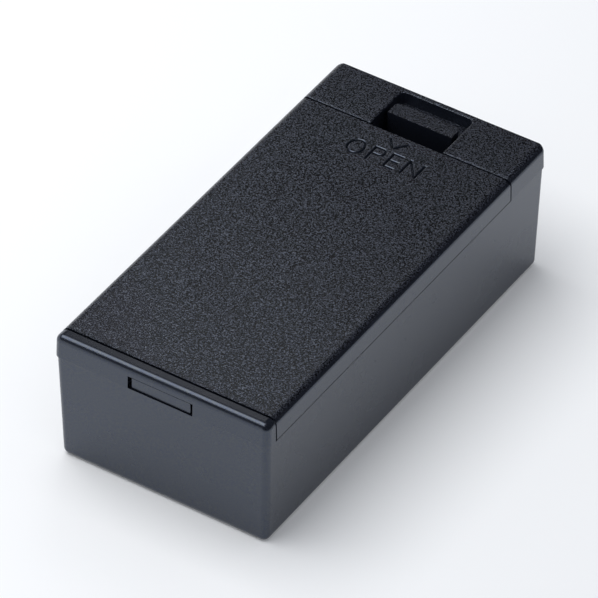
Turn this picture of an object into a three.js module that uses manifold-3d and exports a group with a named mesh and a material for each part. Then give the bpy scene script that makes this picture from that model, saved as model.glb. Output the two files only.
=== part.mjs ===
import * as THREE from 'three';
import { mergeVertices } from 'three/addons/utils/BufferGeometryUtils.js';
import Module from 'manifold-3d';

const wasm = await Module();
wasm.setup();

// Closed box for one nine volt block battery. Sizes are in millimetres.
// The origin is the middle of the underside; +Y runs to the latch end, +Z is up.

// outer shape
const boxWidth = 34;
const boxLength = 70.1;
const boxHeight = 21.15;
const cornerRadius = 1.0;
const leastCorner = 0.3;
const topEdgeHeight = 1.0;
const topEdgeSideReach = 1.2;
const topEdgeNearReach = 1.0;
const topEdgeFarReach = 0.3;
const bottomEdgeRadius = 1.0;
const wallDraft = 0.024;
const bandStep = 0.14;

// wall thicknesses
const wall = 1.95;
const floorThickness = 1.6;
const plateThickness = 1.5;
const lipThickness = 1.0;
const cavityCorner = 0.6;

// joint lines between lid and base
const seamDrop = 3.59;
const seamGap = 0.25;
const endGap = 0.25;
const lipGap = 0.18;
const lipDepthBelowSeam = 1.4;
const lipToBoard = 0.5;
const edgeBreakReach = 0.3;
const edgeBreakDrop = 0.14;

// far block with the finger recess and the catch ledge
const farBlockLength = 9.25;
const blockWall = 1.2;
const recessWidth = 11.8;
const recessRim = 1.0;
const recessCorner = 0.9;
const recessBreakReach = 0.25;
const recessBreakDrop = 0.14;
const ledgeDrop = 2.05;
const ledgeThickness = 1.3;
const ledgeReach = 2.2;
const pocketWallDepth = 6;

// latch, a moulded loop hanging from the far edge of the lid
const latchSideGap = 0.72;
const legThickness = 1.1;
const loopOpening = 3.55;
const loopDepth = 11.5;
const flexureGap = 0.3;
const padDepth = 2.45;
const padThickness = 1.6;
const padDrop = 0.1;
const padCorner = 0.8;
const noseBite = 0.8;
const noseGap = 0.3;
const noseTipHeight = 0.7;
const noseSlope = 0.07;
const noseRamp = 1.1;

// tongue at the near edge of the lid and its window in the near wall
const windowWidth = 10.25;
const windowHeight = 2.17;
const tongueSideGap = 0.49;
const tongueFootGap = 0.08;
const tongueHeadGap = 0.32;
const tongueSetback = 0.3;
const tongueCorner = 0.4;

// battery that the bay is made for
const batteryWidth = 26.5;
const batteryHeight = 17.5;
const batterySideGap = 0.35;
const snapSpacing = 12.7;

// ribs inside the base
const railHeight = 0.25;
const railWidth = 1;
const railSpacing = 16;
const ribThickness = 1.2;
const ribTopBelowSeam = 2;
const ribCount = 3;
const slotGap = 0.15;

// contact board
const boardThickness = 1.6;
const boardSideGap = 0.35;
const boardFootGap = 0.2;
const boardHeadGap = 0.9;
const wiringRoom = 3.45;
const metalGap = 0.06;

// snap contacts
const snapHeight = 3.1;
const studRadius = 2.85;
const studNeckRadius = 2.45;
const studFlangeRadius = 3.6;
const studNeckTop = 1.4;
const studBeadFoot = 2.1;
const studBeadTop = 2.55;
const studCrown = 0.6;
const studBore = 0.85;
const socketRadius = 4.3;
const socketMouthRadius = 2.75;
const socketFootRadius = 3.1;
const socketBellyFoot = 0.95;
const socketBellyTop = 1.85;
const socketLipFlare = 0.3;
const sheetMetal = 0.35;
const petalCount = 6;
const petalSlot = 0.5;
const shankRadius = 1.2;
const shankClearance = 0.06;
const rivetFlare = 0.85;
const eyeletHeadRadius = 2.1;
const eyeletHeadTaper = 0.1;

// solder tags and lead hole
const tagRadius = 2.7;
const tagThickness = 0.4;
const tagWidth = 2.2;
const tagLength = 7.6;
const tagEyeRadius = 0.6;
const leadHoleRadius = 1.6;
const leadHoleHeight = 4.6;

// how far a cutting block stands clear, and how far a joined block is sunk in
const overrun = 2;
const sink = 0.2;

// facets
const cornerSteps = 8;
const edgeSteps = 8;
const turnedSteps = 36;
const bendSteps = 14;

// derived levels and stations
const halfWidth = boxWidth / 2;
const halfLength = boxLength / 2;
const seamZ = boxHeight - seamDrop;
const wallTopZ = seamZ - seamGap / 2;
const skirtFootZ = seamZ + seamGap / 2;
const windowSillZ = wallTopZ;
const plateUnderZ = boxHeight - plateThickness;
const rimInnerY = -halfLength + wall;
const farInnerY = halfLength - wall;
const sideInnerX = halfWidth - wall;
const blockNearY = halfLength - farBlockLength;
const lidNearY = rimInnerY + endGap;
const lidFarY = blockNearY - endGap;
const recessFarY = halfLength - recessRim;
const ledgeTopZ = boxHeight - ledgeDrop;
const ledgeFootZ = ledgeTopZ - ledgeThickness;
const ledgeNearY = recessFarY - ledgeReach;
const latchWidth = recessWidth - 2 * latchSideGap;
const outerLegNearY = lidFarY + loopOpening;
const bendCentreY = lidFarY + loopOpening / 2;
const bendCentreZ = boxHeight - loopDepth;
const boardFarY = lidFarY - legThickness - wiringRoom;
const boardNearY = boardFarY - boardThickness;
const ribTopZ = seamZ - ribTopBelowSeam;
const ribInnerX = batteryWidth / 2 + batterySideGap;
const snapZ = floorThickness + railHeight + batteryHeight / 2;
const snapX = snapSpacing / 2;

const blackPlastic = new THREE.MeshStandardMaterial({ color: 0x2c2e31, roughness: 0.72, metalness: 0 });
const fibreBoard = new THREE.MeshStandardMaterial({ color: 0x7a5230, roughness: 0.8, metalness: 0 });
const nickelPlate = new THREE.MeshStandardMaterial({ color: 0xc4c6c8, roughness: 0.32, metalness: 1 });
const tinPlate = new THREE.MeshStandardMaterial({ color: 0xb4b5b2, roughness: 0.42, metalness: 1 });

// closed geometry to solid, with shared corners and no empty triangles
function toSolid(geometry) {
  const bare = geometry.clone();
  bare.deleteAttribute('normal');
  bare.deleteAttribute('uv');
  const welded = mergeVertices(bare, 1e-5);
  const kept = [];
  const index = welded.index.array;
  for (let i = 0; i < index.length; i += 3) {
    const [a, b, c] = [index[i], index[i + 1], index[i + 2]];
    if (a !== b && b !== c && c !== a) kept.push(a, b, c);
  }
  const vertProperties = new Float32Array(welded.attributes.position.array);
  const mesh = new wasm.Mesh({ numProp: 3, vertProperties, triVerts: new Uint32Array(kept) });
  return new wasm.Manifold(mesh);
}

function toMesh(name, solid, material) {
  const data = solid.getMesh();
  const geometry = new THREE.BufferGeometry();
  geometry.setAttribute('position', new THREE.BufferAttribute(new Float32Array(data.vertProperties), 3));
  geometry.setIndex(new THREE.BufferAttribute(new Uint32Array(data.triVerts), 1));
  geometry.computeVertexNormals();
  const mesh = new THREE.Mesh(geometry, material);
  mesh.name = name;
  return mesh;
}

function joined(solids) {
  return solids.reduce((whole, next) => whole.add(next));
}

function block(x, y, z) {
  const geometry = new THREE.BoxGeometry(x[1] - x[0], y[1] - y[0], z[1] - z[0]);
  geometry.translate((x[0] + x[1]) / 2, (y[0] + y[1]) / 2, (z[0] + z[1]) / 2);
  return toSolid(geometry);
}

function symmetricBlock(halfX, y, z) {
  return block([-halfX, halfX], y, z);
}

// the same block on both sides of the box, given its distance from the middle
function blockPair(x, y, z) {
  return block(x, y, z).add(block([-x[1], -x[0]], y, z));
}

function ringPoints({ halfX, halfY, radius, z, centreY = 0 }) {
  const points = [];
  const corners = [[1, 1], [-1, 1], [-1, -1], [1, -1]];
  corners.forEach(([signX, signY], quarter) => {
    for (let step = 0; step <= cornerSteps; step += 1) {
      const angle = (quarter + step / cornerSteps) * Math.PI / 2;
      const x = signX * (halfX - radius) + radius * Math.cos(angle);
      const y = signY * (halfY - radius) + radius * Math.sin(angle);
      points.push([x, centreY + y, z]);
    }
  });
  return points;
}

// solid through a stack of rounded rectangles, listed from the bottom up
function ringStack(rings) {
  const positions = [];
  const index = [];
  const count = 4 * (cornerSteps + 1);
  rings.forEach((ring) => positions.push(...ringPoints(ring).flat()));
  const last = rings.length - 1;
  const low = rings.length * count;
  const high = low + 1;
  positions.push(0, rings[0].centreY ?? 0, rings[0].z);
  positions.push(0, rings[last].centreY ?? 0, rings[last].z);
  for (let i = 0; i < count; i += 1) {
    const next = (i + 1) % count;
    for (let level = 0; level < last; level += 1) {
      const here = level * count;
      const above = here + count;
      index.push(here + i, here + next, above + next);
      index.push(here + i, above + next, above + i);
    }
    index.push(low, next, i);
    index.push(high, last * count + i, last * count + next);
  }
  const geometry = new THREE.BufferGeometry();
  geometry.setAttribute('position', new THREE.Float32BufferAttribute(positions, 3));
  geometry.setIndex(index);
  return toSolid(geometry);
}

// outline in the Y-Z plane, run across the box and centred on the middle plane
function acrossBox(outline, width) {
  const geometry = new THREE.ExtrudeGeometry(outline, {
    depth: width,
    bevelEnabled: false,
    curveSegments: bendSteps,
  });
  geometry.translate(0, 0, -width / 2);
  const turn = new THREE.Matrix4().makeBasis(
    new THREE.Vector3(0, 1, 0),
    new THREE.Vector3(0, 0, 1),
    new THREE.Vector3(1, 0, 0),
  );
  geometry.applyMatrix4(turn);
  return toSolid(geometry);
}

function outlineOf(points) {
  return new THREE.Shape(points.map(([y, z]) => new THREE.Vector2(y, z)));
}

// turned piece on the near face of the contact board; height runs out of the board
function turned(profile, x) {
  const points = profile.map(([radius, height]) => new THREE.Vector2(radius, height));
  const geometry = new THREE.LatheGeometry(points, turnedSteps);
  geometry.rotateX(Math.PI);
  geometry.translate(x, boardNearY, snapZ);
  return toSolid(geometry);
}

function drilledAlongY(radius, x, z, y) {
  const geometry = new THREE.CylinderGeometry(radius, radius, y[1] - y[0], turnedSteps);
  geometry.translate(x, (y[0] + y[1]) / 2, z);
  return toSolid(geometry);
}

// whole outside of the closed box, the lid included; the walls lean in both ways from the
// joint line, and the band above it stands out from the walls below
function outerShape() {
  const rings = [];
  const ring = (z, sideRound, nearRound, farRound) => {
    const inset = Math.abs(z - seamZ) * wallDraft + (z < seamZ ? bandStep : 0);
    return {
      halfX: halfWidth - inset - sideRound,
      halfY: halfLength - inset - (nearRound + farRound) / 2,
      centreY: (nearRound - farRound) / 2,
      radius: Math.max(cornerRadius - (sideRound + nearRound) / 2, leastCorner),
      z,
    };
  };
  for (let step = 0; step <= edgeSteps; step += 1) {
    const angle = (step / edgeSteps) * Math.PI / 2;
    const round = bottomEdgeRadius * (1 - Math.cos(angle));
    rings.unshift(ring(bottomEdgeRadius * (1 - Math.sin(angle)), round, round, round));
  }
  rings.push(ring(seamZ - bandStep, 0, 0, 0));
  rings.push(ring(seamZ, 0, 0, 0));
  for (let step = 0; step <= edgeSteps; step += 1) {
    const angle = (step / edgeSteps) * Math.PI / 2;
    const part = 1 - Math.cos(angle);
    const z = boxHeight - topEdgeHeight * (1 - Math.sin(angle));
    rings.push(ring(z, topEdgeSideReach * part, topEdgeNearReach * part, topEdgeFarReach * part));
  }
  return ringStack(rings);
}

function cavity() {
  const ring = (z) => ({
    halfX: sideInnerX - (seamZ - z) * wallDraft,
    halfY: farInnerY - (seamZ - z) * wallDraft,
    radius: cavityCorner,
    z,
  });
  return ringStack([ring(floorThickness), ring(seamZ)]);
}

// room under the top of the far block
function blockHollow() {
  return symmetricBlock(sideInnerX, [blockNearY + blockWall, farInnerY], [wallTopZ - overrun, plateUnderZ]);
}

// finger recess, open towards the lid, with a broken edge round its rim
function recess() {
  const nearY = blockNearY - recessCorner - recessBreakReach;
  const ring = (grow, z) => ({
    halfX: recessWidth / 2 + grow,
    halfY: (recessFarY - nearY) / 2 + grow,
    radius: recessCorner + grow,
    centreY: (recessFarY + nearY) / 2,
    z,
  });
  return ringStack([
    ring(0, ledgeTopZ),
    ring(0, boxHeight - recessBreakDrop),
    ring(recessBreakReach, boxHeight),
    ring(recessBreakReach + overrun, boxHeight + overrun),
  ]);
}

function latchPassage() {
  return symmetricBlock(
    recessWidth / 2,
    [blockNearY - overrun, ledgeNearY],
    [wallTopZ - overrun, ledgeTopZ + endGap],
  );
}

function pocketWalls() {
  const inner = recessWidth / 2;
  return blockPair(
    [inner, inner + blockWall],
    [blockNearY, farInnerY + wall / 2],
    [boxHeight - pocketWallDepth, plateUnderZ + plateThickness / 2],
  );
}

function catchLedge() {
  return symmetricBlock(
    recessWidth / 2 + blockWall / 2,
    [ledgeNearY, recessFarY + recessRim / 2],
    [ledgeFootZ, ledgeTopZ],
  );
}

function tongueWindow() {
  return symmetricBlock(
    windowWidth / 2,
    [-halfLength - overrun, rimInnerY + overrun],
    [windowSillZ, windowSillZ + windowHeight],
  );
}

// low slope that breaks a top edge lying across the box
function topEdgeBreak(y) {
  const z = boxHeight;
  const outline = outlineOf([
    [y - edgeBreakReach, z],
    [y, z - edgeBreakDrop],
    [y + edgeBreakReach, z],
    [y, z + edgeBreakDrop],
  ]);
  return acrossBox(outline, boxWidth + overrun);
}

// upright ribs at both side walls, from the floor to below the lid's lips
function sideRibs(nearY) {
  return blockPair(
    [ribInnerX, sideInnerX + wall / 2],
    [nearY, nearY + ribThickness],
    [floorThickness / 2, ribTopZ],
  );
}

function centringRibs() {
  const bayLength = boardNearY - slotGap - ribThickness - rimInnerY;
  const ribs = [];
  for (let i = 1; i <= ribCount; i += 1) {
    const centre = rimInnerY + bayLength * i / (ribCount + 1);
    ribs.push(sideRibs(centre - ribThickness / 2));
  }
  return joined(ribs);
}

function boardSlots() {
  const nearRibs = sideRibs(boardNearY - slotGap - ribThickness);
  const farRibs = sideRibs(boardFarY + slotGap);
  return nearRibs.add(farRibs);
}

function floorRails() {
  const inner = (railSpacing - railWidth) / 2;
  return blockPair(
    [inner, inner + railWidth],
    [rimInnerY - wall / 2, boardNearY - slotGap - ribThickness],
    [floorThickness / 2, floorThickness + railHeight],
  );
}

function baseShell() {
  const lidRoom = symmetricBlock(
    boxWidth,
    [rimInnerY, blockNearY],
    [wallTopZ, boxHeight + overrun],
  );
  const shell = outerShape().subtract(lidRoom).subtract(cavity()).subtract(blockHollow());
  const inside = joined([pocketWalls(), catchLedge(), centringRibs(), boardSlots(), floorRails()]);
  const leadHole = drilledAlongY(
    leadHoleRadius,
    0,
    leadHoleHeight,
    [farInnerY - overrun, halfLength + overrun],
  );
  const solid = shell.add(inside)
    .subtract(recess())
    .subtract(latchPassage())
    .subtract(tongueWindow())
    .subtract(topEdgeBreak(blockNearY))
    .subtract(leadHole);
  return toMesh('base_shell', solid, blackPlastic);
}

// lips that drop inside the side walls of the base and keep the lid in line; they stop short
// of the contact board on both sides
function sideLips() {
  const outer = sideInnerX - lipGap;
  const lips = [];
  [
    [lidNearY + lipThickness / 2, boardNearY - lipToBoard],
    [boardFarY + lipToBoard, lidFarY - lipThickness / 2],
  ].forEach((y) => {
    lips.push(blockPair([outer - lipThickness, outer], y, [seamZ - lipDepthBelowSeam, plateUnderZ + sink]));
    lips.push(blockPair([outer - sink, sideInnerX + sink], y, [skirtFootZ, plateUnderZ + sink]));
  });
  return joined(lips);
}

function endLips() {
  const z = [skirtFootZ, plateUnderZ + sink];
  const near = symmetricBlock(sideInnerX + sink, [lidNearY, lidNearY + lipThickness], z);
  const far = symmetricBlock(sideInnerX + sink, [lidFarY - lipThickness, lidFarY], z);
  return near.add(far);
}

function tongue() {
  const halfTongue = windowWidth / 2 - tongueSideGap;
  const footZ = windowSillZ + tongueFootGap;
  const topZ = windowSillZ + windowHeight - tongueHeadGap;
  const shape = new THREE.Shape();
  shape.moveTo(-halfTongue, topZ);
  shape.lineTo(-halfTongue, footZ + tongueCorner);
  shape.absarc(-halfTongue + tongueCorner, footZ + tongueCorner, tongueCorner, Math.PI, Math.PI * 1.5);
  shape.lineTo(halfTongue - tongueCorner, footZ);
  shape.absarc(halfTongue - tongueCorner, footZ + tongueCorner, tongueCorner, Math.PI * 1.5, Math.PI * 2);
  shape.lineTo(halfTongue, topZ);
  shape.closePath();
  const frontY = -halfLength + tongueSetback;
  const backY = lidNearY + lipThickness / 2;
  const geometry = new THREE.ExtrudeGeometry(shape, {
    depth: backY - frontY,
    bevelEnabled: false,
    curveSegments: cornerSteps,
  });
  geometry.rotateX(Math.PI / 2);
  geometry.translate(0, backY, 0);
  return toSolid(geometry);
}

// inner leg and bend of the loop, up to the root of the outer leg
function loopOutline() {
  const innerRadius = loopOpening / 2;
  const outerRadius = innerRadius + legThickness;
  const shape = new THREE.Shape();
  shape.moveTo(lidFarY, plateUnderZ + sink);
  shape.lineTo(lidFarY - legThickness, plateUnderZ + sink);
  shape.lineTo(lidFarY - legThickness, bendCentreZ);
  shape.absarc(bendCentreY, bendCentreZ, outerRadius, Math.PI, Math.PI * 2, false);
  shape.lineTo(outerLegNearY, bendCentreZ);
  shape.absarc(bendCentreY, bendCentreZ, innerRadius, Math.PI * 2, Math.PI, true);
  shape.closePath();
  return shape;
}

function lid() {
  const region = symmetricBlock(boxWidth, [lidNearY, lidFarY], [skirtFootZ, boxHeight + overrun]);
  const underside = symmetricBlock(
    sideInnerX,
    [lidNearY - overrun, lidFarY + overrun],
    [skirtFootZ - overrun, plateUnderZ],
  );
  const tray = outerShape().intersect(region).subtract(underside);
  const loop = acrossBox(loopOutline(), latchWidth);
  const solid = joined([tray, sideLips(), endLips(), tongue(), loop]).subtract(topEdgeBreak(lidNearY));
  return toMesh('lid', solid, blackPlastic);
}

// outer leg of the loop with the finger pad on top and the nose below it
function latchArm() {
  const nearY = outerLegNearY;
  const legFarY = nearY + legThickness;
  const padFarY = nearY + padDepth;
  const footZ = bendCentreZ + flexureGap;
  const padTopZ = boxHeight - padDrop;
  const padFootZ = padTopZ - padThickness;
  const noseTipY = ledgeNearY + noseBite;
  const noseTopZ = ledgeFootZ - noseGap;
  const noseTipTopZ = noseTopZ - (noseTipY - legFarY) * noseSlope;
  const noseTipFootZ = noseTipTopZ - noseTipHeight;
  const noseRootZ = noseTipFootZ - (noseTipY - legFarY) * noseRamp;
  const outline = outlineOf([
    [nearY, footZ],
    [legFarY, footZ],
    [legFarY, noseRootZ],
    [noseTipY, noseTipFootZ],
    [noseTipY, noseTipTopZ],
    [legFarY, noseTopZ],
    [legFarY, padFootZ],
    [padFarY, padFootZ],
    [padFarY, padTopZ],
    [nearY, padTopZ],
  ]);
  const arm = acrossBox(outline, latchWidth);
  const reachY = noseTipY + overrun;
  const lowPart = symmetricBlock(latchWidth, [nearY - overrun, reachY], [footZ - overrun, padFootZ - sink]);
  const plan = (z) => ({
    halfX: latchWidth / 2,
    halfY: (padFarY - nearY) / 2 + padCorner,
    radius: padCorner,
    centreY: (padFarY + nearY) / 2 - padCorner,
    z,
  });
  const highPart = ringStack([plan(padFootZ - 2 * sink), plan(padTopZ + overrun)]);
  return toMesh('latch_arm', arm.intersect(lowPart.add(highPart)), blackPlastic);
}

function contactBoard() {
  const halfBoard = sideInnerX - (seamZ - floorThickness) * wallDraft - boardSideGap;
  const board = symmetricBlock(
    halfBoard,
    [boardNearY, boardFarY],
    [floorThickness + boardFootGap, plateUnderZ - boardHeadGap],
  );
  const through = [boardNearY - overrun, boardFarY + overrun];
  const holes = [snapX, -snapX].map((x) => drilledAlongY(shankRadius + shankClearance, x, snapZ, through));
  return toMesh('contact_board', board.subtract(joined(holes)), fibreBoard);
}

// drawn stud with its own hollow shank, flared over the solder tag
function snapStud() {
  const tagBack = -(boardThickness + metalGap + tagThickness + metalGap);
  const profile = [
    [0, snapHeight - 2 * sheetMetal],
    [studBore, snapHeight - 2 * sheetMetal],
    [studBore, tagBack - sheetMetal],
    [shankRadius + rivetFlare, tagBack - sheetMetal],
    [shankRadius + rivetFlare, tagBack],
    [shankRadius, tagBack],
    [shankRadius, metalGap],
    [studFlangeRadius, metalGap],
    [studFlangeRadius, metalGap + sheetMetal],
    [studNeckRadius, metalGap + sheetMetal],
    [studNeckRadius, studNeckTop],
    [studRadius, studBeadFoot],
    [studRadius, studBeadTop],
    [studRadius - studCrown, snapHeight],
    [0, snapHeight],
  ];
  return toMesh('negative_snap_stud', turned(profile, snapX), nickelPlate);
}

// cup with sprung petals that grips the stud of the battery
function snapSocket() {
  const foot = metalGap;
  const bore = shankRadius + shankClearance;
  const innerBelly = socketRadius - sheetMetal;
  const outerMouth = socketMouthRadius + sheetMetal;
  const lipFoot = snapHeight - sheetMetal;
  const profile = [
    [bore, foot],
    [socketFootRadius, foot],
    [socketRadius, socketBellyFoot],
    [socketRadius, socketBellyTop],
    [outerMouth + socketLipFlare, lipFoot],
    [outerMouth + 2 * socketLipFlare, snapHeight],
    [socketMouthRadius + socketLipFlare, snapHeight],
    [socketMouthRadius, lipFoot],
    [innerBelly, socketBellyTop],
    [innerBelly, socketBellyFoot + sheetMetal],
    [socketFootRadius - sheetMetal, foot + sheetMetal],
    [bore, foot + sheetMetal],
    [bore, foot],
  ];
  let cup = turned(profile, -snapX);
  for (let i = 0; i < petalCount; i += 1) {
    const bar = new THREE.BoxGeometry(petalSlot, snapHeight, socketRadius * 2);
    bar.translate(0, -foot - 2 * sheetMetal - snapHeight / 2, socketRadius + shankRadius);
    bar.rotateY((i + 0.5) * Math.PI * 2 / petalCount);
    bar.translate(-snapX, boardNearY, snapZ);
    cup = cup.subtract(toSolid(bar));
  }
  return toMesh('positive_snap_socket', cup, nickelPlate);
}

// hollow rivet that holds the socket and its solder tag on the board
function socketEyelet() {
  const headFoot = metalGap + sheetMetal + metalGap;
  const tagBack = -(boardThickness + metalGap + tagThickness + metalGap);
  const profile = [
    [studBore, tagBack - sheetMetal],
    [shankRadius + rivetFlare, tagBack - sheetMetal],
    [shankRadius + rivetFlare, tagBack],
    [shankRadius, tagBack],
    [shankRadius, headFoot],
    [eyeletHeadRadius, headFoot],
    [eyeletHeadRadius - eyeletHeadTaper, headFoot + sheetMetal],
    [studBore, headFoot + sheetMetal],
    [studBore, tagBack - sheetMetal],
  ];
  return toMesh('socket_eyelet', turned(profile, -snapX), nickelPlate);
}

// stamped tag behind the board, its tail pointing down to the lead hole
function solderTag(name, x) {
  const nearY = boardFarY + metalGap;
  const y = [nearY, nearY + tagThickness];
  const disc = drilledAlongY(tagRadius, x, snapZ, y);
  const tail = block([x - tagWidth / 2, x + tagWidth / 2], y, [snapZ - tagLength, snapZ - shankRadius - rivetFlare]);
  const through = [y[0] - overrun, y[1] + overrun];
  const rivetHole = drilledAlongY(shankRadius + shankClearance, x, snapZ, through);
  const eyeHole = drilledAlongY(tagEyeRadius, x, snapZ - tagLength + tagWidth / 2, through);
  return toMesh(name, disc.add(tail).subtract(rivetHole).subtract(eyeHole), tinPlate);
}

const batteryBox = new THREE.Group();
batteryBox.name = 'battery_box';
batteryBox.add(baseShell());
batteryBox.add(lid());
batteryBox.add(latchArm());
batteryBox.add(contactBoard());
batteryBox.add(snapSocket());
batteryBox.add(socketEyelet());
batteryBox.add(snapStud());
batteryBox.add(solderTag('positive_solder_tag', -snapX));
batteryBox.add(solderTag('negative_solder_tag', snapX));

export default batteryBox;
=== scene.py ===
import math

import bmesh
import bpy
from mathutils import Matrix, Vector


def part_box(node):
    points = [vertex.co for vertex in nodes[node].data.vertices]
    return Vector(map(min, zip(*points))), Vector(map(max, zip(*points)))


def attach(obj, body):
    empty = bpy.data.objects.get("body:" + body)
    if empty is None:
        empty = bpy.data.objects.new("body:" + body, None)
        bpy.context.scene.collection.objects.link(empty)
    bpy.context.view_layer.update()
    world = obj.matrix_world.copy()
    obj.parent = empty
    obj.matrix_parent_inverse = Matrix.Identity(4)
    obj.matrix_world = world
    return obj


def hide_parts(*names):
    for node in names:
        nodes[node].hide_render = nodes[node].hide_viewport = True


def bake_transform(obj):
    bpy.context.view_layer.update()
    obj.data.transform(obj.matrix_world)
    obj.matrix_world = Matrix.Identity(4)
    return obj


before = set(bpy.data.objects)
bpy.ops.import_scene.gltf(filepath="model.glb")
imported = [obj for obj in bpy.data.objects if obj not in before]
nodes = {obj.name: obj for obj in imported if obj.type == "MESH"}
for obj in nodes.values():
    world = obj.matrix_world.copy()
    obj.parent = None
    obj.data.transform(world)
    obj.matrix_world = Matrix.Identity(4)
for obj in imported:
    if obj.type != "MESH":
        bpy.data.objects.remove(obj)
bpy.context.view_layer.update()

# looks of a closed box for one block battery: shell, tilting lid, bending latch and contacts
mm = 0.001
scene = bpy.context.scene

# levels and stations of the box, read from the frame
shellLow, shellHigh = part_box("base_shell")
armLow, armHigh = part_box("latch_arm")
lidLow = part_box("lid")[0]
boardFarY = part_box("contact_board")[1].y
topZ = shellHigh.z
reach = 1 * mm  # how far a cutting block goes past what it cuts


# helpers for meshes
def linkMesh(name, bm):
    mesh = bpy.data.meshes.new(name)
    bm.to_mesh(mesh)
    bm.free()
    obj = bpy.data.objects.new(name, mesh)
    scene.collection.objects.link(obj)
    return obj


def blockMesh(name, low, high):
    bm = bmesh.new()
    bmesh.ops.create_cube(bm, size=1)
    size = Vector(high) - Vector(low)
    bmesh.ops.scale(bm, vec=size, verts=bm.verts[:])
    bmesh.ops.translate(bm, vec=(Vector(high) + Vector(low)) / 2, verts=bm.verts[:])
    return linkMesh(name, bm)


def fillOutline(bm, loops, z):
    # flat region inside closed loops of points, where the first loop goes round the others
    edges = []
    for loop in loops:
        ring = [bm.verts.new((x, y, z)) for x, y in loop]
        edges += [bm.edges.new((vert, ring[(i + 1) % len(ring)])) for i, vert in enumerate(ring)]
    bmesh.ops.triangle_fill(bm, use_beauty=True, edges=edges, normal=(0, 0, -1))


def applyModifiers(obj):
    bpy.context.view_layer.update()
    evaluated = obj.evaluated_get(bpy.context.evaluated_depsgraph_get())
    mesh = bpy.data.meshes.new_from_object(evaluated)
    obj.modifiers.clear()
    obj.data = mesh


def combine(obj, other, operation):
    # boolean of two closed meshes, which uses up the other one
    step = obj.modifiers.new(operation.lower(), "BOOLEAN")
    step.operation = operation
    step.solver = "EXACT"
    step.object = other
    applyModifiers(obj)
    bpy.data.objects.remove(other)


# copies of the CAD solids: how they are cleaned, rounded and shaded
dressing = {
    "weldGap": 0.0005 * mm,
    "flatAngle": math.radians(0.6),
    "sharpAngle": math.radians(32),
    "roundSteps": 3,
    "normalWeight": 60,
}


def copyNode(node, name):
    bm = bmesh.new()
    bm.from_mesh(nodes[node].data)
    bmesh.ops.remove_doubles(bm, verts=bm.verts[:], dist=dressing["weldGap"])
    bmesh.ops.dissolve_limit(bm, angle_limit=dressing["flatAngle"], verts=bm.verts[:], edges=bm.edges[:])
    bmesh.ops.recalc_face_normals(bm, faces=bm.faces[:])
    return linkMesh(name, bm)


def breakEdges(obj, width):
    # small round on the sharp edges
    bevel = obj.modifiers.new("edgeBreak", "BEVEL")
    bevel.width = width
    bevel.segments = dressing["roundSteps"]
    bevel.limit_method = "ANGLE"
    bevel.angle_limit = dressing["sharpAngle"]
    applyModifiers(obj)


def smoothShade(obj):
    mesh = obj.data
    mesh.shade_smooth()
    mesh.set_sharp_from_angle(angle=dressing["sharpAngle"])
    weighted = obj.modifiers.new("faceWeight", "WEIGHTED_NORMAL")
    weighted.mode = "FACE_AREA"
    weighted.weight = dressing["normalWeight"]
    weighted.keep_sharp = True


# helpers for materials
noiseBand = (0.3, 0.7)  # most of a noise texture lies between these levels


def newMaterial(name):
    material = bpy.data.materials.new(name)
    material.use_nodes = True
    tree = material.node_tree
    tree.nodes.clear()
    output = tree.nodes.new("ShaderNodeOutputMaterial")
    shader = tree.nodes.new("ShaderNodeBsdfPrincipled")
    tree.links.new(shader.outputs["BSDF"], output.inputs["Surface"])
    return material, tree, shader


def objectCoords(tree):
    return tree.nodes.new("ShaderNodeTexCoord").outputs["Object"]


def splitVector(tree, vector):
    split = tree.nodes.new("ShaderNodeSeparateXYZ")
    tree.links.new(vector, split.inputs[0])
    return split.outputs


def mathNode(tree, operation, first, second):
    node = tree.nodes.new("ShaderNodeMath")
    node.operation = operation
    for socket, value in zip(node.inputs, (first, second)):
        if isinstance(value, float):
            socket.default_value = value
        else:
            tree.links.new(value, socket)
    return node.outputs[0]


def rangeNode(tree, value, low, high, outLow=0.0, outHigh=1.0):
    node = tree.nodes.new("ShaderNodeMapRange")
    node.interpolation_type = "SMOOTHSTEP"
    node.inputs["From Min"].default_value = low
    node.inputs["From Max"].default_value = high
    node.inputs["To Min"].default_value = outLow
    node.inputs["To Max"].default_value = outHigh
    tree.links.new(value, node.inputs["Value"])
    return node.outputs["Result"]


def noiseNode(tree, coords, noise):
    node = tree.nodes.new("ShaderNodeTexNoise")
    node.inputs["Scale"].default_value = noise["scale"]
    node.inputs["Detail"].default_value = noise["detail"]
    node.inputs["Roughness"].default_value = noise["roughness"]
    tree.links.new(coords, node.inputs["Vector"])
    return node.outputs["Fac"]


def mixColor(tree, factor, first, second):
    node = tree.nodes.new("ShaderNodeMix")
    node.data_type = "RGBA"
    tree.links.new(factor, node.inputs["Factor"])
    for name, value in (("A", first), ("B", second)):
        if isinstance(value, tuple):
            node.inputs[name].default_value = value
        else:
            tree.links.new(value, node.inputs[name])
    return node.outputs["Result"]


# camera of the photograph, solved from the outline of the box
camera = {
    "place": (0.353677, -0.555698, 0.577912),
    "azimuth": 32.5332,
    "elevation": 40.7516,
    "roll": 0.6111,
    "focalPixels": 6399.3,
    "pictureSide": 598,
    "sensor": 36.0,
    "clipStart": 0.05,
    "clipEnd": 20,
}


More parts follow.
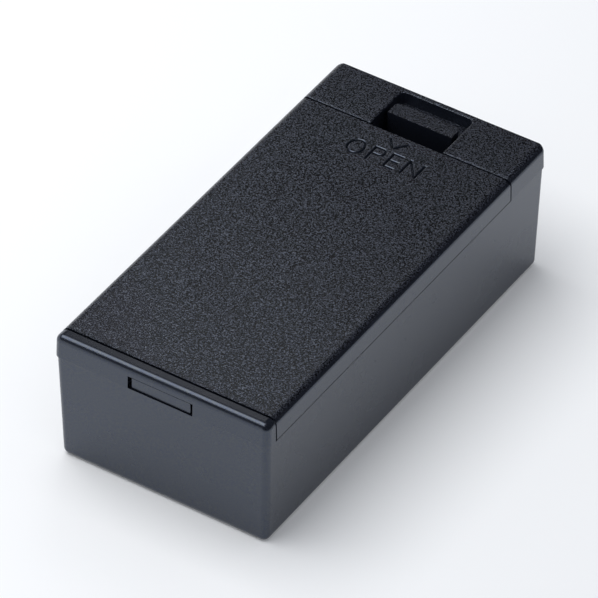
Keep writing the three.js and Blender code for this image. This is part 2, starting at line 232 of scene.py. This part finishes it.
def addCamera():
    azimuth, elevation = math.radians(camera["azimuth"]), math.radians(camera["elevation"])
    roll = math.radians(camera["roll"])
    backX = math.sin(azimuth) * math.cos(elevation)
    backY = -math.cos(azimuth) * math.cos(elevation)
    back = Vector((backX, backY, math.sin(elevation)))
    right = Vector((math.cos(azimuth), math.sin(azimuth), 0))
    up = back.cross(right)
    turnedRight = right * math.cos(roll) + up * math.sin(roll)
    turnedUp = up * math.cos(roll) - right * math.sin(roll)
    axes = Matrix((turnedRight, turnedUp, back)).transposed()
    data = bpy.data.cameras.new("photoCamera")
    data.sensor_width = camera["sensor"]
    data.lens = camera["sensor"] * camera["focalPixels"] / camera["pictureSide"]
    data.clip_start = camera["clipStart"]
    data.clip_end = camera["clipEnd"]
    obj = bpy.data.objects.new("photoCamera", data)
    scene.collection.objects.link(obj)
    obj.matrix_world = Matrix.Translation(camera["place"]) @ axes.to_4x4()
    scene.camera = obj


addCamera()
print("camera done")

# stage: a pale paper floor with a little glow of its own for the rays that are seen
paper = {
    "side": 6.0,
    "color": (0.945, 0.945, 0.945, 1),
    "fleck": (0.940, 0.940, 0.944, 1),
    "fibres": {"scale": 900, "detail": 2, "roughness": 0.5},
    "roughness": 0.9,
    "specular": 0.1,
    "glow": 0.08,  # share of plain white
}

# what is seen of the world is white at the horizon and dim overhead and to the right
studio = {
    "horizon": (1, 1, 1, 1),
    "ceiling": (0.02, 0.021, 0.024, 1),
    "fadeFrom": 0.02,
    "fadeTo": 0.16,
    "leanRight": 0.35,  # the white band ends lower to the right
    "ambient": (0.46, 0.48, 0.515, 1),
}

# a softbox overhead and a little to the left, and a small card behind the far end
lampColor = (0.98, 0.99, 1.0)
softbox = {"place": (-0.16, -0.06, 0.36), "aim": (-0.16, -0.06, 0.0), "side": 0.34, "power": 1.16}
card = {"place": (-0.082, 0.10, 0.16), "aim": (0.0, -0.035, 0.02), "side": 0.05, "power": 0.019}


def seenRays(tree):
    # 1 for camera, glossy and transmission rays
    path = tree.nodes.new("ShaderNodeLightPath")
    seen = mathNode(tree, "MAXIMUM", path.outputs["Is Camera Ray"], path.outputs["Is Glossy Ray"])
    return mathNode(tree, "MAXIMUM", seen, path.outputs["Is Transmission Ray"])


def addFloor():
    bm = bmesh.new()
    bmesh.ops.create_grid(bm, x_segments=1, y_segments=1, size=paper["side"] / 2)
    floor = linkMesh("floor", bm)
    material, tree, shader = newMaterial("floorPaper")
    fibres = noiseNode(tree, objectCoords(tree), paper["fibres"])
    tree.links.new(mixColor(tree, fibres, paper["color"], paper["fleck"]), shader.inputs["Base Color"])
    shader.inputs["Roughness"].default_value = paper["roughness"]
    shader.inputs["Specular IOR Level"].default_value = paper["specular"]
    white = tree.nodes.new("ShaderNodeEmission")
    mix = tree.nodes.new("ShaderNodeMixShader")
    output = next(node for node in tree.nodes if node.type == "OUTPUT_MATERIAL")
    tree.links.new(mathNode(tree, "MULTIPLY", seenRays(tree), paper["glow"]), mix.inputs["Fac"])
    tree.links.new(shader.outputs["BSDF"], mix.inputs[1])
    tree.links.new(white.outputs[0], mix.inputs[2])
    tree.links.new(mix.outputs[0], output.inputs["Surface"])
    floor.data.materials.append(material)


def backdropColor(tree):
    direction = splitVector(tree, tree.nodes.new("ShaderNodeTexCoord").outputs["Generated"])
    lean = mathNode(tree, "MULTIPLY", direction["X"], studio["leanRight"])
    height = mathNode(tree, "ADD", direction["Z"], lean)
    fade = rangeNode(tree, height, studio["fadeFrom"], studio["fadeTo"])
    return mixColor(tree, fade, studio["horizon"], studio["ceiling"])


def addWorld():
    world = bpy.data.worlds.new("studio")
    scene.world = world
    world.use_nodes = True
    tree = world.node_tree
    tree.nodes.clear()
    output = tree.nodes.new("ShaderNodeOutputWorld")
    mix = tree.nodes.new("ShaderNodeMixShader")
    dim = tree.nodes.new("ShaderNodeBackground")
    backdrop = tree.nodes.new("ShaderNodeBackground")
    dim.inputs["Color"].default_value = studio["ambient"]
    tree.links.new(backdropColor(tree), backdrop.inputs["Color"])
    tree.links.new(seenRays(tree), mix.inputs["Fac"])
    tree.links.new(dim.outputs[0], mix.inputs[1])
    tree.links.new(backdrop.outputs[0], mix.inputs[2])
    tree.links.new(mix.outputs[0], output.inputs["Surface"])


def addLamp(name, lamp):
    light = bpy.data.lights.new(name, "AREA")
    light.shape = "SQUARE"
    light.size = lamp["side"]
    light.color = lampColor
    light.energy = lamp["power"]
    obj = bpy.data.objects.new(name, light)
    scene.collection.objects.link(obj)
    obj.location = lamp["place"]
    obj.rotation_mode = "QUATERNION"
    obj.rotation_quaternion = (Vector(lamp["place"]) - Vector(lamp["aim"])).to_track_quat("Z", "Y")


addFloor()
addWorld()
addLamp("softbox", softbox)
addLamp("card", card)
scene.view_settings.view_transform = "Standard"
print("stage done")

# black moulded plastic: eroded grain on the faces that lie flat, coloured with painted shade in its pits
# and painted glints on its peaks, and a fine speckle on the sides
plastic = {
    "color": (0.0068, 0.0082, 0.0130, 1),
    "paleColor": (0.0080, 0.0096, 0.0150, 1),
    # the grain's pit colour is painted shade and its peak colour a painted glint
    "pitShadeColor": (0.0022, 0.0024, 0.0034, 1),
    "peakGlintColor": (0.0290, 0.0313, 0.0425, 1),
    "specular": 1.0,
    "paleTint": (0.84, 0.93, 1.0, 1),
    "speckleTint": (0.60, 0.70, 1.0, 1),
    # painted shade: dims the reflection in the grain's pits
    "pitShadeTint": (0.05, 0.054, 0.064, 1),
    # painted shade: dims the reflection on the level rim
    "rimShadeTint": (0.12, 0.13, 0.155, 1),
    "topRoughness": 0.22,
    "sideRoughness": 0.27,
    "patchRoughness": 0.08,
    "grain": {"scale": 4600, "detail": 3, "roughness": 0.65},
    "fine": {"scale": 9000, "detail": 2, "roughness": 0.6},
    "speckle": {"scale": 5200, "detail": 2, "roughness": 0.5},
    "patch": {"scale": 160, "detail": 3, "roughness": 0.5},
    "grainBand": (0.40, 0.66),  # levels of the noise that make a pit and a peak
    "grainHeight": 0.014 * mm,
    "fineHeight": 0.004 * mm,
    "grainTilt": (0.62, 0.90),  # upward share of the normal where grain begins and is full
    # the level rim gets painted shade, its reflection dimmed
    "rimTilt": (0.93, 0.985),  # the same for the dull level rim
    "grainFade": 0.5 * mm,
    "blockNearY": 20 * mm,  # station between the near rim and the far block of the base
}


def flatShares(tree, coords, grainFrom):
    # share of grain on flat faces beyond the station grainFrom, and of smooth level rim before it, where
    # painted shade dims the reflection
    turn = tree.nodes.new("ShaderNodeVectorTransform")
    turn.vector_type = "NORMAL"
    turn.convert_from = "WORLD"
    turn.convert_to = "OBJECT"
    tree.links.new(tree.nodes.new("ShaderNodeNewGeometry").outputs["Normal"], turn.inputs[0])
    upward = splitVector(tree, turn.outputs[0])["Z"]
    station = splitVector(tree, coords)["Y"]
    beyond = rangeNode(tree, station, grainFrom, grainFrom + plastic["grainFade"])
    before = mathNode(tree, "SUBTRACT", 1.0, beyond)
    grained = mathNode(tree, "MULTIPLY", rangeNode(tree, upward, *plastic["grainTilt"]), beyond)
    rim = mathNode(tree, "MULTIPLY", rangeNode(tree, upward, *plastic["rimTilt"]), before)
    return grained, rim


def plasticMaterial(name, grainFrom):
    material, tree, shader = newMaterial(name)
    coords = objectCoords(tree)
    grained, rim = flatShares(tree, coords, grainFrom)
    grain = rangeNode(tree, noiseNode(tree, coords, plastic["grain"]), *plastic["grainBand"])
    fine = noiseNode(tree, coords, plastic["fine"])
    speckle = rangeNode(tree, noiseNode(tree, coords, plastic["speckle"]), *noiseBand)
    patch = noiseNode(tree, coords, plastic["patch"])

    smooth = mixColor(tree, rangeNode(tree, patch, *noiseBand), plastic["color"], plastic["paleColor"])
    # real grain pattern, coloured with painted shade in its pits and painted glints on its peaks
    grainShadeAndGlint = mixColor(tree, grain, plastic["pitShadeColor"], plastic["peakGlintColor"])
    tree.links.new(mixColor(tree, grained, smooth, grainShadeAndGlint), shader.inputs["Base Color"])

    # painted shade: the reflection of the lamps is dimmed in the grain's pits and on the level rim
    pitShade = mathNode(tree, "MULTIPLY", mathNode(tree, "SUBTRACT", 1.0, grain), grained)
    tint = mixColor(tree, speckle, plastic["speckleTint"], plastic["paleTint"])
    tint = mixColor(tree, pitShade, tint, plastic["pitShadeTint"])
    # painted shade on the level rim: its reflection of the lamps is dimmed
    tree.links.new(mixColor(tree, rim, tint, plastic["rimShadeTint"]), shader.inputs["Specular Tint"])
    shader.inputs["Specular IOR Level"].default_value = plastic["specular"]

    level = rangeNode(tree, grained, 0, 1, plastic["sideRoughness"], plastic["topRoughness"])
    spread = mathNode(tree, "MULTIPLY", mathNode(tree, "SUBTRACT", patch, 0.5), plastic["patchRoughness"])
    tree.links.new(mathNode(tree, "ADD", level, spread), shader.inputs["Roughness"])

    high = mathNode(tree, "MULTIPLY", mathNode(tree, "MULTIPLY", grain, grained), plastic["grainHeight"])
    low = mathNode(tree, "MULTIPLY", fine, plastic["fineHeight"])
    bump = tree.nodes.new("ShaderNodeBump")
    bump.inputs["Strength"].default_value = 1.0
    bump.inputs["Distance"].default_value = 1.0
    tree.links.new(mathNode(tree, "ADD", high, low), bump.inputs["Height"])
    tree.links.new(bump.outputs["Normal"], shader.inputs["Normal"])
    return material


# the base is grained on its far block, the lid all over, and the grooves of the letters nowhere
basePlastic = plasticMaterial("basePlastic", plastic["blockNearY"])
lidPlastic = plasticMaterial("lidPlastic", lidLow.y - plastic["grainFade"])
groovePlastic = plasticMaterial("groovePlastic", shellHigh.y)

# base shell
baseShell = {
    "edge": 0.13 * mm,
}


def addBase():
    base = copyNode("base_shell", "baseShell")
    breakEdges(base, baseShell["edge"])
    smoothShade(base)
    base.data.materials.append(basePlastic)
    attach(base, "base")
    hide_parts("base_shell")


addBase()
print("base done")

# lettering sunk into the lid, in mm: the word OPEN and an arrowhead towards the tongue end
lettering = {
    "height": 3.4,
    "baseY": 18.62,
    "stroke": 0.5,
    "lefts": {"O": -6.15, "P": -2.55, "E": 0.33, "N": 3.05},
    "widths": {"O": 2.9, "P": 2.3, "E": 1.9, "N": 2.75},
    "bowlShare": 0.56,
    "bowlSteps": 20,
    "arrowTip": (-0.25, 22.6),
    "arrowRise": 1.95,
    "arrowHalf": 1.5,
    "cutterAbove": 0.4,  # height of a cutter over the lid
    "rim": {"slope": 0.11, "depth": 0.06},
    "wall": {"slope": 0.11, "depth": 0.30},
    "bandLow": (-7.0, 18.0),  # corners and depth of the band that holds the grooves
    "bandHigh": (7.0, 25.2),
    "bandDepth": 0.5,
    "wallTilt": 0.97,  # a face in the band that leans more than this is a groove's wall
}


def arc(centre, rx, ry, start, stop, steps):
    points = []
    for i in range(steps + 1):
        angle = start + (stop - start) * i / steps
        points.append((centre[0] + rx * math.cos(angle), centre[1] + ry * math.sin(angle)))
    return points


def ellipse(centre, rx, ry, steps):
    return arc(centre, rx, ry, 0, 2 * math.pi, steps)[:-1]


def bowl(centre, radius):
    # right half of a circle, from the bottom up
    return arc(centre, radius, radius, -math.pi / 2, math.pi / 2, lettering["bowlSteps"])


def bar(start, end):
    # a straight stroke about its centre line
    across = Vector((start[1] - end[1], end[0] - start[0])).normalized() * lettering["stroke"] / 2
    a, b = Vector(start), Vector(end)
    return [tuple(p) for p in (a + across, a - across, b - across, b + across)], []


# each letter is a list of strokes, and each stroke an outer loop and its holes
def letterO(left, width):
    height, stroke = lettering["height"], lettering["stroke"]
    centre = (left + width / 2, lettering["baseY"] + height / 2)
    steps = 2 * lettering["bowlSteps"]
    ring = ellipse(centre, width / 2, height / 2, steps)
    hole = ellipse(centre, width / 2 - stroke, height / 2 - stroke, steps)
    return [(ring, [hole[::-1]])]


def letterP(left, width):
    height, stroke, bottom = lettering["height"], lettering["stroke"], lettering["baseY"]
    top = bottom + height
    radius = height * lettering["bowlShare"] / 2
    centre = (left + width - radius, top - radius)
    outer = [(left, top - 2 * radius), *bowl(centre, radius), (left, top)]
    start, end = (left + stroke, top - 2 * radius + stroke), (left + stroke, top - stroke)
    inner = [start, *bowl(centre, radius - stroke), end]
    stem = left + stroke / 2
    return [(outer, [inner[::-1]]), bar((stem, bottom), (stem, top))]


def letterE(left, width):
    height, half, bottom = lettering["height"], lettering["stroke"] / 2, lettering["baseY"]
    top = bottom + height
    strokes = [bar((left + half, bottom), (left + half, top))]
    for y in (bottom + half, bottom + height / 2, top - half):
        strokes.append(bar((left, y), (left + width, y)))
    return strokes


def letterN(left, width):
    half, bottom = lettering["stroke"] / 2, lettering["baseY"]
    top = bottom + lettering["height"]
    first, last = left + half, left + width - half
    stems = [bar((x, bottom), (x, top)) for x in (first, last)]
    return [*stems, bar((first, top - half), (last, bottom + half))]


def arrowHead():
    x, y = lettering["arrowTip"]
    rise, half = lettering["arrowRise"], lettering["arrowHalf"]
    return [bar((x, y), (x + side * half, y + rise)) for side in (-1, 1)]


def allStrokes():
    draw = {"O": letterO, "P": letterP, "E": letterE, "N": letterN}
    strokes = []
    for letter, drawLetter in draw.items():
        strokes += drawLetter(lettering["lefts"][letter], lettering["widths"][letter])
    return strokes + arrowHead()


def grooveMesh(name, loops):
    # closed cutter: the stroke standing above the lid, with a soft rim and steep walls below it
    bm = bmesh.new()
    fillOutline(bm, loops, topZ)
    under = bm.faces[:]
    made = bmesh.ops.extrude_face_region(bm, geom=under, use_keep_orig=True)
    lifted = [item for item in made["geom"] if isinstance(item, bmesh.types.BMVert)]
    bmesh.ops.translate(bm, verts=lifted, vec=(0, 0, lettering["cutterAbove"] * mm))
    bmesh.ops.recalc_face_normals(bm, faces=bm.faces[:])
    for step in (lettering["rim"], lettering["wall"]):
        slope, depth = step["slope"] * mm, step["depth"] * mm
        bmesh.ops.inset_region(bm, faces=under, thickness=slope, depth=depth, use_even_offset=True)
    return linkMesh(name, bm)


def sinkLetters(lid):
    for i, (outer, holes) in enumerate(allStrokes()):
        loops = [[(x * mm, y * mm) for x, y in loop] for loop in (outer, *holes)]
        combine(lid, grooveMesh(f"letterCut{i}", loops), "DIFFERENCE")


def flattenGrooves(lid):
    # the sloping walls of the grooves are smooth plastic and keep their own plane normals
    low, high = lettering["bandLow"], lettering["bandHigh"]
    bandFloor = topZ - lettering["bandDepth"] * mm
    for face in lid.data.polygons:
        x, y = face.center.x / mm, face.center.y / mm
        inside = low[0] < x < high[0] and low[1] < y < high[1] and face.center.z > bandFloor
        if inside and face.normal.z < lettering["wallTilt"]:
            face.use_smooth = False
            face.material_index = 1


# the latch, a springy piece on the real box: the loop under the lid's far edge and the arm with the pad,
# joined into one piece
latch = {
    "rootDrop": 3.465 * mm,  # from the top down to the foot of the lid's lip, where the loop begins
    "opening": 3.55 * mm,  # between the two legs of the loop
    "leg": 1.1 * mm,
    "bridgeBelow": 0.5 * mm,  # block that closes the gap between the loop and the arm
    "bridgeAbove": 0.2 * mm,
    "edge": 0.1 * mm,
}


def loopRoom():
    # the room of the loop, below the lip at the lid's far edge
    low = (armLow.x, boardFarY, lidLow.z - reach)
    return blockMesh("loopRoom", low, (armHigh.x, armHigh.y, topZ - latch["rootDrop"]))


# the lid without the loop, and the shallow rebates that darken the seams at both ends of its top
lidTop = {
    "edge": 0.12 * mm,
    "nearStation": 2.2 * mm,  # from the near end of the box
    "farStation": 9.5 * mm,  # from the far end
    "rebateWidth": 0.16 * mm,
    "rebateDepth": 0.6 * mm,
}


def cutRebate(lid, fromY, toY):
    low = (shellLow.x - reach, fromY, topZ - lidTop["rebateDepth"])
    high = (shellHigh.x + reach, toY, topZ + reach)
    combine(lid, blockMesh("rebate", low, high), "DIFFERENCE")


def addLid():
    lid = copyNode("lid", "lidShell")
    combine(lid, loopRoom(), "DIFFERENCE")
    nearY = shellLow.y + lidTop["nearStation"]
    farY = shellHigh.y - lidTop["farStation"]
    cutRebate(lid, nearY - reach, nearY + lidTop["rebateWidth"])
    cutRebate(lid, farY - lidTop["rebateWidth"], farY + lidTop["rebateWidth"])
    breakEdges(lid, lidTop["edge"])
    sinkLetters(lid)
    lid.data.materials.append(lidPlastic)
    lid.data.materials.append(groovePlastic)
    smoothShade(lid)
    flattenGrooves(lid)
    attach(lid, "lid")
    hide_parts("lid")


addLid()
print("lid done")


def addLatch():
    loop = copyNode("lid", "latchLoop")
    combine(loop, loopRoom(), "INTERSECT")
    combine(loop, copyNode("latch_arm", "armCopy"), "UNION")
    low = (armLow.x, armLow.y, armLow.z - latch["bridgeBelow"])
    high = (armHigh.x, armLow.y + latch["leg"], armLow.z + latch["bridgeAbove"])
    combine(loop, blockMesh("bridge", low, high), "UNION")
    breakEdges(loop, latch["edge"])
    smoothShade(loop)
    loop.data.materials.append(lidPlastic)
    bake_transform(loop)
    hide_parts("latch_arm")


addLatch()
print("latch done")

# contact board and its metal pieces
plating = {
    "nickel": {
        "dark": (0.5332, 0.5160, 0.4902, 1),
        "pale": (0.62, 0.60, 0.57, 1),
        "roughness": (0.224, 0.364),
        "cloud": {"scale": 900, "detail": 4, "roughness": 0.6},
    },
    "tin": {
        "dark": (0.4472, 0.4472, 0.4386, 1),
        "pale": (0.52, 0.52, 0.51, 1),
        "roughness": (0.336, 0.546),
        "cloud": {"scale": 500, "detail": 4, "roughness": 0.6},
    },
}
fibreBoard = {
    "dark": (0.13, 0.062, 0.028, 1),
    "pale": (0.22, 0.115, 0.052, 1),
    "roughness": 0.55,
    "fibres": {"scale": 1800, "detail": 4, "roughness": 0.65},
}


def metalMaterial(name):
    look = plating[name]
    material, tree, shader = newMaterial(name + "Plate")
    cloud = noiseNode(tree, objectCoords(tree), look["cloud"])
    tree.links.new(mixColor(tree, cloud, look["dark"], look["pale"]), shader.inputs["Base Color"])
    tree.links.new(rangeNode(tree, cloud, *noiseBand, *look["roughness"]), shader.inputs["Roughness"])
    shader.inputs["Metallic"].default_value = 1.0
    return material


def boardMaterial():
    material, tree, shader = newMaterial("fibreBoard")
    fibres = noiseNode(tree, objectCoords(tree), fibreBoard["fibres"])
    color = mixColor(tree, fibres, fibreBoard["dark"], fibreBoard["pale"])
    tree.links.new(color, shader.inputs["Base Color"])
    shader.inputs["Roughness"].default_value = fibreBoard["roughness"]
    return material


# no rounding where the edge is 0, because the pressed pieces are round already
contacts = {
    "contact_board": {"name": "contactBoard", "look": "fibre", "slot": "fibre_board", "edge": 0.08 * mm},
    "positive_snap_socket": {"name": "snapSocket", "look": "nickel", "slot": "nickel_plate", "edge": 0},
    "socket_eyelet": {"name": "socketEyelet", "look": "nickel", "slot": "nickel_plate", "edge": 0},
    "negative_snap_stud": {"name": "snapStud", "look": "nickel", "slot": "nickel_plate", "edge": 0},
    "positive_solder_tag": {"name": "socketTag", "look": "tin", "slot": "tin_plate", "edge": 0.03 * mm},
    "negative_solder_tag": {"name": "studTag", "look": "tin", "slot": "tin_plate", "edge": 0.03 * mm},
}


def addContacts():
    looks = {"fibre": boardMaterial(), "nickel": metalMaterial("nickel"), "tin": metalMaterial("tin")}
    for node, piece in contacts.items():
        obj = copyNode(node, piece["name"])
        if piece["edge"]:
            breakEdges(obj, piece["edge"])
        smoothShade(obj)
        obj.data.materials.append(looks[piece["look"]])
        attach(obj, "base")
        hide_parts(node)


addContacts()
print("contacts done")
